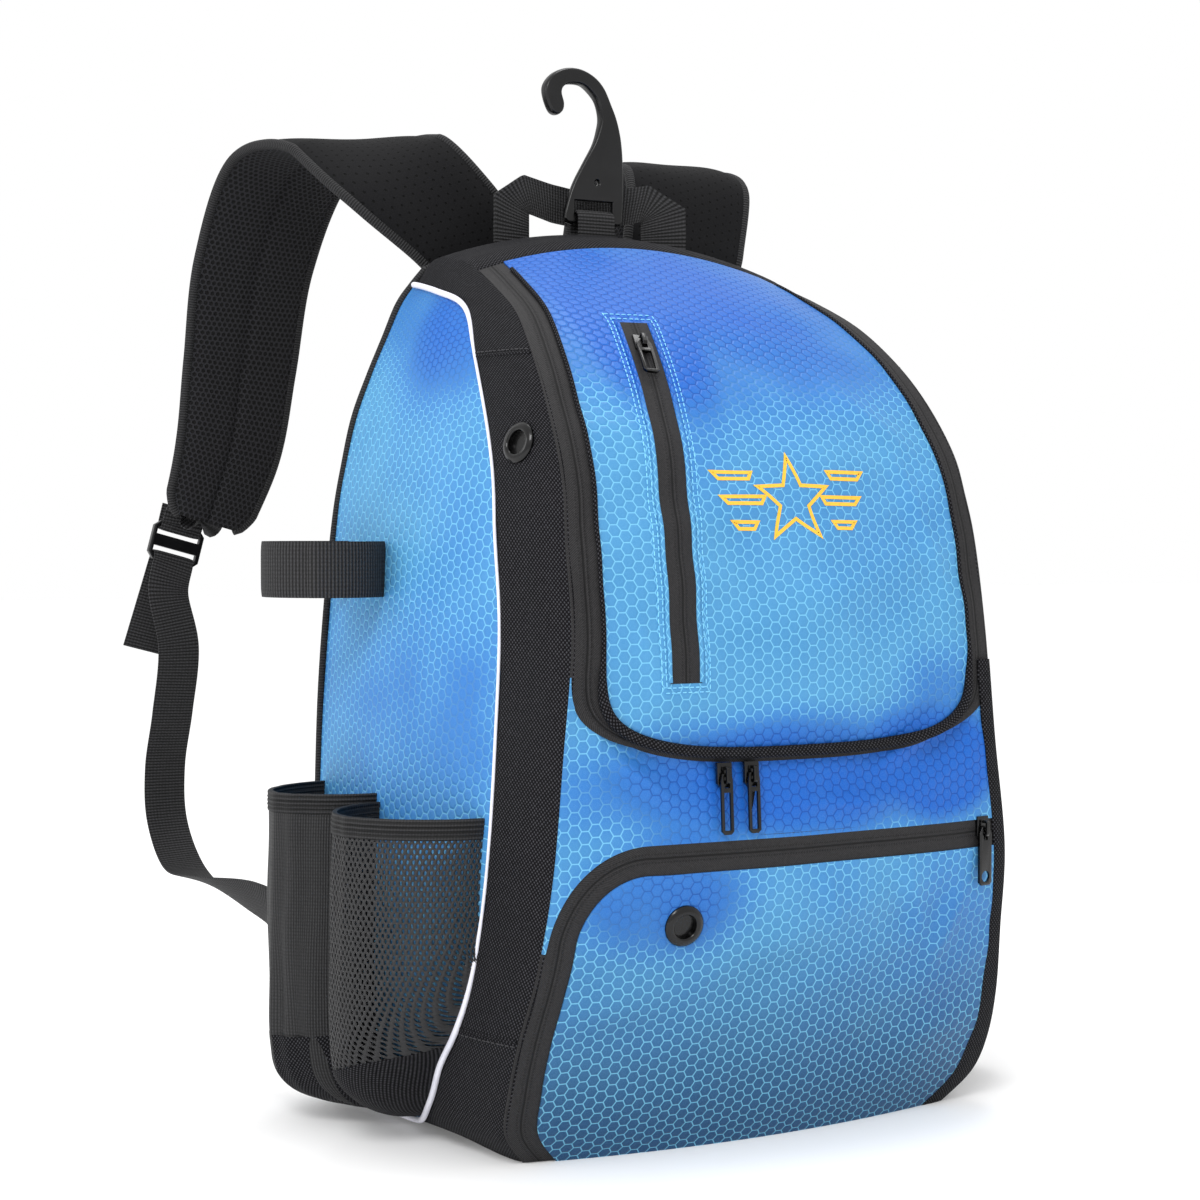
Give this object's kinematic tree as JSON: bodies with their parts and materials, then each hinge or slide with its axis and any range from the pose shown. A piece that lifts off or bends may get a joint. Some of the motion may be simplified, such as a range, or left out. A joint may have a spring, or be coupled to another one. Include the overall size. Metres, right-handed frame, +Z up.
{
  "type": "baseball bat backpack",
  "caption": "Soft backpack with a curved front flap, a lower shoe pocket, side pockets and bat sleeves with loops, padded shoulder straps, a haul handle and a fence hook.",
  "frame": {"origin": "middle of the flat base that the bag stands on", "axes": "+Z up, -Y towards the front flap, +Y towards the wearer's back, +X to the right seen from the front"},
  "size_m": [0.4048, 0.4395, 0.551],
  "materials": {
    "blue_ripstop": "woven ripstop with a honeycomb grid",
    "black_twill": "plain black polyester",
    "black_mesh": "open knitted mesh",
    "black_webbing": "ribbed webbing",
    "white_piping": "smooth coated cord",
    "zip_tape": "coil zip on woven tape",
    "black_metal": "gloss black",
    "black_plastic": "moulded, semi-gloss"
  },
  "bodies": {
    "bag": {"front_flap": "blue_ripstop", "lower_front": "blue_ripstop", "shoe_pocket": "blue_ripstop", "flap_piping": "black_twill", "pocket_zip_tape": "zip_tape", "shoe_zip_tape": "zip_tape", "main_zip_right": "zip_tape", "main_zip_left": "zip_tape", "main_zip_lower": "zip_tape", "top_gusset": "black_twill", "base_gusset": "black_twill", "back_panel": "black_mesh", "shoe_vent": "black_metal", "haul_handle": "black_webbing", "hook_loop": "black_webbing", "pocket_slider": "black_metal", "main_slider_left": "black_metal", "main_slider_right": "black_metal", "shoe_slider": "black_metal", "gusset_right": "black_twill", "gusset_left": "black_twill", "side_panel_right": "blue_ripstop", "side_panel_left": "blue_ripstop", "side_piping_right": "white_piping", "side_piping_left": "white_piping", "gusset_vent_right": "black_metal", "gusset_vent_left": "black_metal", "bottle_pocket_right": "black_mesh", "bottle_pocket_left": "black_mesh", "bottle_hem_right": "black_webbing", "bottle_hem_left": "black_webbing", "bat_sleeve_right": "black_mesh", "bat_sleeve_left": "black_mesh", "sleeve_hem_right": "black_webbing", "sleeve_hem_left": "black_webbing", "bat_loop_right": "black_webbing", "bat_loop_left": "black_webbing", "shoulder_pad_right": "black_mesh", "shoulder_pad_left": "black_mesh", "pad_webbing_right": "black_webbing", "pad_webbing_left": "black_webbing", "ladder_lock_right": "black_plastic", "ladder_lock_left": "black_plastic", "strap_webbing_right": "black_webbing", "strap_webbing_left": "black_webbing", "strap_tab_right": "black_twill", "strap_tab_left": "black_twill"},
    "hook": {"fence_hook": "black_plastic"},
    "pull_pocket": {"pocket_pull": "black_metal"},
    "pull_main_left": {"main_pull_left": "black_metal"},
    "pull_main_right": {"main_pull_right": "black_metal"},
    "pull_shoe": {"shoe_pull": "black_metal"}
  },
  "joints": [
    {"name": "hook_tip", "type": "hinge", "parent": "bag", "child": "hook", "pos_m": [-0.0023, 0.06399, 0.46965], "axis": [1, 0, 0], "range_deg": [-3, 80]},
    {"name": "pocket_pull_swing", "type": "hinge", "parent": "bag", "child": "pull_pocket", "pos_m": [-0.05249, -0.06897, 0.39318], "axis": [-0.9737, 0.206, 0.0977], "range_deg": [0, 140]},
    {"name": "main_pull_left_swing", "type": "hinge", "parent": "bag", "child": "pull_main_left", "pos_m": [-0.04617, -0.13327, 0.18534], "axis": [-0.9982, 0.0604, 0], "range_deg": [0, 100]},
    {"name": "main_pull_right_swing", "type": "hinge", "parent": "bag", "child": "pull_main_right", "pos_m": [-0.03111, -0.13388, 0.18534], "axis": [-0.9992, 0.0408, 0], "range_deg": [0, 100]},
    {"name": "shoe_pull_swing", "type": "hinge", "parent": "bag", "child": "pull_shoe", "pos_m": [0.11552, -0.12721, 0.14959], "axis": [-0.9882, -0.1532, 0], "range_deg": [0, 140]}
  ]
}
